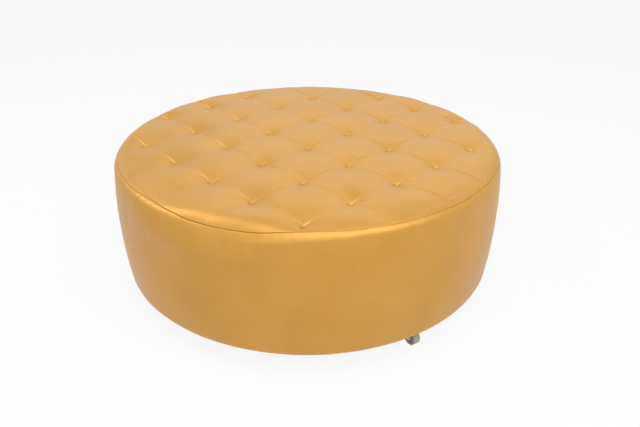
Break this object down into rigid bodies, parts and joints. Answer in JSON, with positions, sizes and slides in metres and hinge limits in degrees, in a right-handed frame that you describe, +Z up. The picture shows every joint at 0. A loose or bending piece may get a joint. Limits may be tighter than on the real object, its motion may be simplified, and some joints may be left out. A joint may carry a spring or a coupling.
{
  "type": "tuffet",
  "caption": "Round upholstered tuffet with a diamond-tufted seat, a seam on its rounded shoulder and a smooth padded side, standing on hidden swivel castors.",
  "frame": {"origin": "on the floor, under the middle of the seat", "axes": "+Z up, -Y the front that faces the viewer, +X to the viewer's right"},
  "size_m": [1.22, 1.218, 0.457],
  "materials": {
    "gold_vinyl": "gold pearl upholstery vinyl, satin",
    "foam": "cut polyurethane foam",
    "dust_cloth": "black non-woven dust cloth",
    "plywood": "birch plywood",
    "timber": "sawn pine",
    "hardboard": "pressed hardboard",
    "toggle_plastic": "white nylon",
    "twine": "waxed linen twine",
    "zinc_steel": "zinc-plated pressed steel",
    "core_plastic": "grey nylon",
    "tyre_rubber": "grey thermoplastic rubber"
  },
  "bodies": {
    "root": {"dust_cover": "dust_cloth", "base_disc": "plywood", "rim_posts": "timber", "front_rail": "timber", "back_rail": "timber", "left_nogging": "timber", "right_nogging": "timber", "front_prop": "timber", "back_prop": "timber", "deck_disc": "plywood", "side_skin": "hardboard", "twine_toggles": "toggle_plastic", "tufting_twines": "twine", "side_foam": "foam", "seat_foam": "foam", "side_cover": "gold_vinyl", "top_cover": "gold_vinyl", "castor_plates": "zinc_steel", "swivel_races": "zinc_steel", "kingpins": "zinc_steel", "castor_screws": "zinc_steel"},
    "castor_1": {"fork_1": "zinc_steel", "axle_1": "zinc_steel"},
    "wheel_1": {"wheel_core_1": "core_plastic", "tyre_1": "tyre_rubber"},
    "castor_2": {"fork_2": "zinc_steel", "axle_2": "zinc_steel"},
    "wheel_2": {"wheel_core_2": "core_plastic", "tyre_2": "tyre_rubber"},
    "castor_3": {"fork_3": "zinc_steel", "axle_3": "zinc_steel"},
    "wheel_3": {"wheel_core_3": "core_plastic", "tyre_3": "tyre_rubber"},
    "castor_4": {"fork_4": "zinc_steel", "axle_4": "zinc_steel"},
    "wheel_4": {"wheel_core_4": "core_plastic", "tyre_4": "tyre_rubber"}
  },
  "joints": [
    {"name": "castor_1_swivel", "type": "hinge", "parent": "root", "child": "castor_1", "pos_m": [0.30055, -0.42924, 0.05], "axis": [0, 0, 1], "continuous": true},
    {"name": "wheel_1_roll", "type": "hinge", "parent": "castor_1", "child": "wheel_1", "pos_m": [0.31254, -0.44769, 0.025], "axis": [0.8387, 0.5446, 0], "continuous": true},
    {"name": "castor_2_swivel", "type": "hinge", "parent": "root", "child": "castor_2", "pos_m": [0.42924, 0.30055, 0.05], "axis": [0, 0, 1], "continuous": true},
    {"name": "wheel_2_roll", "type": "hinge", "parent": "castor_2", "child": "wheel_2", "pos_m": [0.43077, 0.3225, 0.025], "axis": [-0.9976, 0.0698, 0], "continuous": true},
    {"name": "castor_3_swivel", "type": "hinge", "parent": "root", "child": "castor_3", "pos_m": [-0.30055, 0.42924, 0.05], "axis": [0, 0, 1], "continuous": true},
    {"name": "wheel_3_roll", "type": "hinge", "parent": "castor_3", "child": "wheel_3", "pos_m": [-0.31499, 0.41263, 0.025], "axis": [0.7547, -0.6561, 0], "continuous": true},
    {"name": "castor_4_swivel", "type": "hinge", "parent": "root", "child": "castor_4", "pos_m": [-0.42924, -0.30055, 0.05], "axis": [0, 0, 1], "continuous": true},
    {"name": "wheel_4_roll", "type": "hinge", "parent": "castor_4", "child": "wheel_4", "pos_m": [-0.40772, -0.29598, 0.025], "axis": [-0.2079, 0.9781, 0], "continuous": true}
  ]
}
